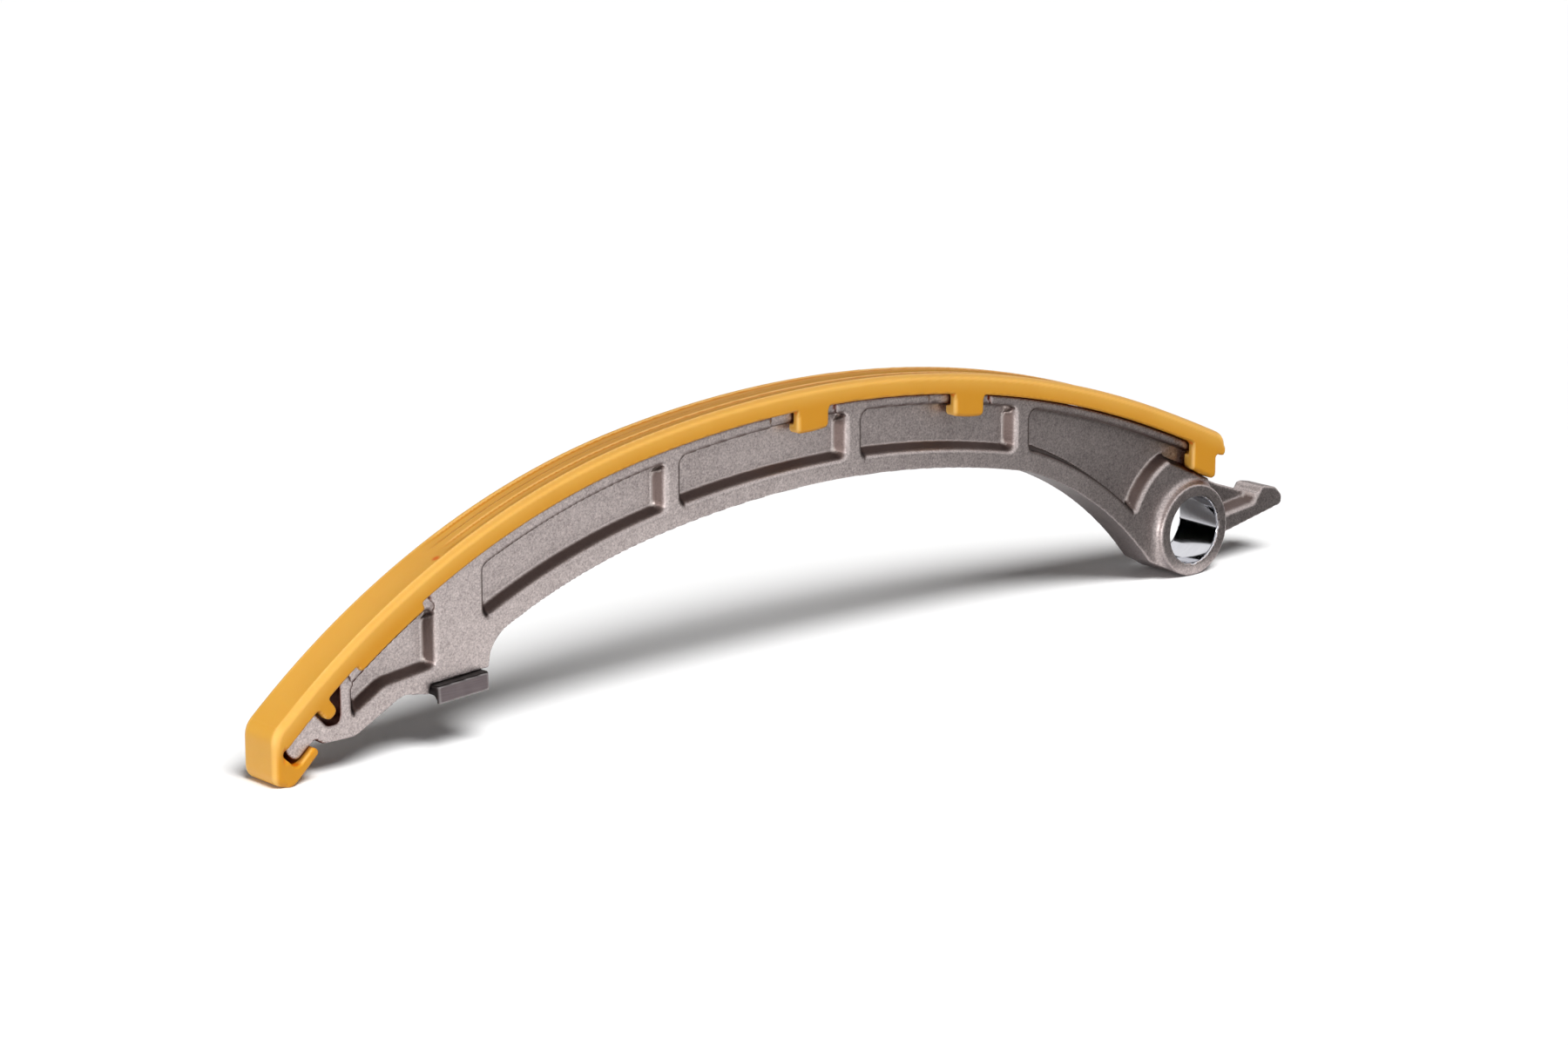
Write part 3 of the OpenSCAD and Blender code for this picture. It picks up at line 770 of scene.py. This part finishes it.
# %% [markdown]
# ## Ground steel
# The plate is darker than the casting, with the fine straight scratches of grinding along its
# length. A noise that is squeezed across the plate draws them.

# %% Finish of the wear plate
ground = Finish("hard_steel")
place = ground.node("ShaderNodeTexCoord", out="Object")
stretch = ground.node("ShaderNodeMapping", None,
                      {"Vector": place, "Scale": (120.0, 120.0, 4000.0)})
scratches = ground.noise(stretch, 1.0, 3.0)
smudge = ground.noise(place, 300.0, 3.0)
bare = ground.mix(scratches * 0.6 + smudge * 0.4, colour(78, 69, 71), colour(130, 120, 122))
# Painted highlight on the rims
bare = ground.mix(ground.mark("rim") * 0.25, bare, colour(226, 222, 220))
# Painted shade, nearly black, on the top ledge and the end by the hook
bare = ground.mix(ground.mark("dark"), bare, colour(20, 15, 14))
bump = ground.node("ShaderNodeBump", None,
                   {"Strength": 0.15, "Distance": 0.00005, "Height": scratches})
ground.surface(Base_Color=bare, Metallic=0.9, Roughness=0.36 + (scratches - 0.5) * 0.2,
               Normal=bump)
ground.put_on(plate)

# %% [markdown]
# ## The camera
# The camera stands in front and to the left, a little above the part, with a long lens. Its place
# comes from the round bore, which looks like an ellipse from here, and from the edges across the
# part, so that the picture has the same perspective as the photograph.

# %% Camera
YAW = math.radians(40.99)
PITCH = math.radians(13.82)
camera_data = bpy.data.cameras.new("camera")
camera_data.sensor_width = 36.0
camera_data.lens = 98.2
camera_data.clip_start = 0.01
camera = bpy.data.objects.new("camera", camera_data)
camera.location = (-0.716085, -0.682704, 0.242961)
looking = Vector((math.sin(YAW) * math.cos(PITCH), math.cos(YAW) * math.cos(PITCH),
                  -math.sin(PITCH)))
camera.rotation_euler = looking.to_track_quat("-Z", "Y").to_euler()
scene.collection.objects.link(camera)
scene.camera = camera
print("camera at", tuple(camera.location))

# %% [markdown]
# ## A white floor in a white room
# A catalogue picture stands on white paper in a white room. If all that white also lit the part,
# it would look flat. So the paper and the room are white for rays that come from the camera, from
# a mirror or through glass, and dimmer for the rays that carry soft light to the part. The floor
# keeps the part's shadow.

# %% Floor
FLOOR = -0.01101
FLOOR_HALF = 9.0
LIT_WHITE = (0.75, 0.75, 0.75, 1.0)
SEEN_WHITE = (1.0, 1.0, 1.0, 1.0)


def flat(height, *spots):
    """Corners of a sheet that lies flat."""
    return [(x, y, height) for x, y in spots]


def sheet(name, corners):
    """A flat four-cornered piece of the studio."""
    mesh = bpy.data.meshes.new(name)
    mesh.from_pydata(corners, [], [(0, 1, 2, 3)])
    piece = bpy.data.objects.new(name, mesh)
    scene.collection.objects.link(piece)
    return piece


def shown(tree):
    """1 for rays that show the studio itself, and 0 for rays that carry its light."""
    seen, glossy, through = (tree.node("ShaderNodeLightPath", out=ray) for ray in (
        "Is Camera Ray", "Is Glossy Ray", "Is Transmission Ray"))
    return (seen + glossy + through).at_most(1.0)


floor = sheet("floor", flat(FLOOR, (-FLOOR_HALF, -FLOOR_HALF), (FLOOR_HALF, -FLOOR_HALF),
                            (FLOOR_HALF, FLOOR_HALF), (-FLOOR_HALF, FLOOR_HALF)))
paper = Finish("paper")
matt = paper.node("ShaderNodeBsdfDiffuse", None, {"Color": LIT_WHITE})
white = paper.node("ShaderNodeBsdfDiffuse", None, {"Color": SEEN_WHITE})
both = paper.node("ShaderNodeMixShader", None, {0: shown(paper), 1: matt, 2: white})
plug(paper.tree.nodes["Material Output"].inputs["Surface"], both)
paper.put_on(floor)

# %% Room
FILL = 0.07
world = bpy.data.worlds.new("studio")
world.use_nodes = True
scene.world = world
scene.view_settings.view_transform = "Standard"
room = Tree(world.node_tree)
back = room.tree.nodes["Background"]
back.inputs["Color"].default_value = SEEN_WHITE
plug(back.inputs["Strength"], shown(room) * (1.0 - FILL) + FILL)
print("room with", len(room.tree.nodes), "nodes, fill light", FILL)

# %% [markdown]
# ## Lamps
# One large soft lamp hangs above and in front, a faint and very wide one straight overhead, and a
# small one faces the hooked end. Bare metal would mirror the two upper lamps as bright discs, so
# they are hidden from mirror rays, and the metal mirrors the white room instead.

# %% Lamps
END_LAMP_SIZE = (0.4, 0.1)


def lamp(name, kind, energy, spot, aim, mirrored, **settings):
    """A lamp at a spot, turned to the point that it lights."""
    data = bpy.data.lights.new(name, kind)
    data.energy = energy
    for key, value in settings.items():
        setattr(data, key, value)
    piece = bpy.data.objects.new(name, data)
    piece.location = spot
    piece.rotation_euler = (Vector(aim) - Vector(spot)).to_track_quat("-Z", "Y").to_euler()
    piece.visible_glossy = mirrored
    scene.collection.objects.link(piece)
    print(name, energy)


lamp("softbox", "SUN", 3.45, (-0.10, -0.53, 0.84), (0.0, 0.0, 0.0), False,
     angle=math.radians(30))
lamp("top_light", "SUN", 0.04, (0.0, 0.0, 1.0), (0.0, 0.0, 0.0), False,
     angle=math.radians(100))
lamp("end_lamp", "AREA", 2.0, (-0.85, -0.15, 0.07), (-0.2, 0.0, 0.02), True,
     shape="RECTANGLE", size=END_LAMP_SIZE[0], size_y=END_LAMP_SIZE[1])

# %% [markdown]
# ## Dark cards
# Metal looks like metal because it mirrors both light and dark. In a white room a photographer
# stands black cards round the part, out of the picture, so that edges and curved faces get dark
# lines. These cards aren't seen by the camera and cast no shadow.

# %% Cards for the reflections
BLACK, DARK_GREY, GREY = 0.0, 0.1, 0.35


def upright(start, end, low, high):
    """Corners of a sheet that stands on edge."""
    return [(*start, low), (*end, low), (*end, high), (*start, high)]


def card(name, grey, corners):
    """A card that only mirrors see."""
    piece = sheet(name, corners)
    piece.visible_camera = False
    piece.visible_shadow = False
    piece.visible_transmission = False
    piece.visible_diffuse = False
    paint = Finish(name)
    paint.surface(Base_Color=(grey, grey, grey, 1.0), Roughness=1.0, Specular_IOR_Level=0.0)
    paint.put_on(piece)


card("back_card", BLACK, upright((-0.3, 0.25), (0.7, 0.25), 0.0, 0.17))
card("strip_card", BLACK, upright((-0.35, 0.05), (-0.008, 0.05), -0.01, 0.045))
card("near_card", BLACK, flat(-0.0103, (0.0, -0.09), (0.13, -0.09), (0.13, -0.012), (0.0, -0.012)))
card("low_card", GREY, flat(-0.0105, (0.07, -0.6), (0.7, -0.6), (0.7, 0.02), (-0.04, -0.015)))
card("right_card", DARK_GREY, upright((0.12, -0.5), (0.5, -0.1), -0.01, 0.12))
